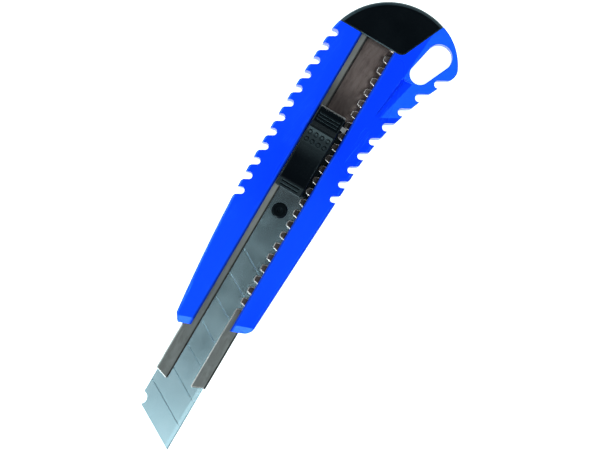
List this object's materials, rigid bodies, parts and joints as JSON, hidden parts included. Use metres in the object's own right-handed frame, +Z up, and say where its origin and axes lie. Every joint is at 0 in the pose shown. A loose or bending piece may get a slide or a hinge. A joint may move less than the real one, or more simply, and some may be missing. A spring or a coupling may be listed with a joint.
{
  "type": "utility knife",
  "caption": "Snap-off blade knife: flared grip handle, steel guide channel with a toothed edge, sliding blade on a sprung thumb slide, pull-off end cap.",
  "frame": {"origin": "centre of the overall box at its lowest face: on the flat back, under the middle of the knife", "axes": "+X from the end cap to the blade's tip, +Y towards the lanyard lobe and the cutting edge, +Z up from the flat back to the thumb slide"},
  "size_m": [0.1836, 0.0484, 0.0137],
  "materials": {
    "handle_blue": "moulded ABS, satin gloss",
    "black_plastic": "moulded, fine texture",
    "channel_steel": "rolled sheet, dull",
    "spring_steel": "bright strip",
    "blade_steel": "ground carbon steel"
  },
  "bodies": {
    "handle": {"handle_body": "handle_blue", "blade_channel": "channel_steel"},
    "cap": {"end_cap": "black_plastic"},
    "slider": {"blade_segment_1": "blade_steel", "blade_segment_2": "blade_steel", "blade_segment_3": "blade_steel", "blade_segment_4": "blade_steel", "blade_segment_5": "blade_steel", "blade_segment_6": "blade_steel", "blade_segment_7": "blade_steel", "blade_tang": "blade_steel", "blade_carrier": "black_plastic", "thumb_slide": "black_plastic", "lock_spring": "spring_steel"}
  },
  "joints": [
    {"name": "blade_slide", "type": "slide", "parent": "handle", "child": "slider", "axis": [1, 0, 0], "range_m": [-0.02766, 0.05532], "deforming": ["lock_spring"]},
    {"name": "cap_pull", "type": "slide", "parent": "handle", "child": "cap", "axis": [-1, 0, 0], "range_m": [0, 0.014]}
  ]
}
